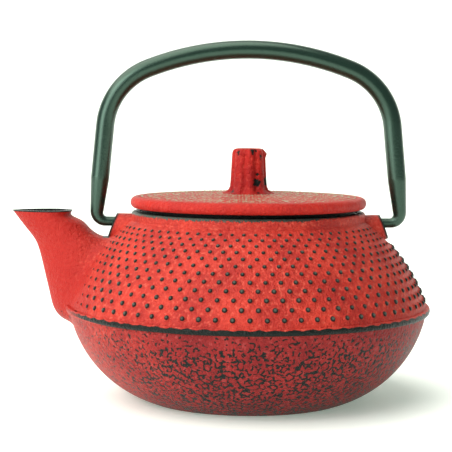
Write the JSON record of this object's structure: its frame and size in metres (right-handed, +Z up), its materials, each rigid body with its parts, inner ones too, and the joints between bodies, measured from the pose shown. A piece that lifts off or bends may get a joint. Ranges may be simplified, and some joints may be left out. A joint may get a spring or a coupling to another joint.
{
  "type": "cast iron teapot",
  "caption": "Small red cast iron teapot with a hobnail shoulder, flat riveted-knob lid, swinging tube bail, side spout and a lift-out mesh infuser.",
  "frame": {"origin": "centre of the flat foot, on the table", "axes": "+Z up along the pot's axis, -X towards the spout, bail pivots on a line along X"},
  "size_m": [0.1527, 0.133, 0.1301],
  "materials": {
    "painted_iron": "satin red paint over cast iron, rubbed through to dark metal on hobnail tips, belt and rim, black enamel inside",
    "painted_lid": "satin red paint over cast iron, small dots on top rubbed through to dark metal",
    "painted_knob": "satin red paint over cast iron, ridges rubbed through to dark metal",
    "green_tube": "dark green satin paint on rolled steel tube",
    "stainless_sheet": "pressed stainless sheet",
    "stainless_mesh": "woven stainless wire mesh",
    "washer_steel": "plain steel washer"
  },
  "bodies": {
    "pot": {"pot_body": "painted_iron"},
    "bail": {"bail": "green_tube"},
    "infuser": {"infuser_rim": "stainless_sheet", "infuser_sleeve": "stainless_mesh", "infuser_floor": "stainless_mesh", "infuser_base_ring": "stainless_sheet"},
    "lid": {"lid": "painted_lid", "lid_knob": "painted_knob", "knob_washer": "washer_steel"}
  },
  "joints": [
    {"name": "bail_swing", "type": "hinge", "parent": "pot", "child": "bail", "pos_m": [0, 0, 0.064], "axis": [1, 0, 0], "range_deg": [-101, 101]},
    {"name": "infuser_lift", "type": "slide", "parent": "pot", "child": "infuser", "axis": [0, 0, 1], "range_m": [0, 0.015]},
    {"name": "lid_lift", "type": "slide", "parent": "infuser", "child": "lid", "axis": [0, 0, 1], "range_m": [0, 0.016]}
  ]
}
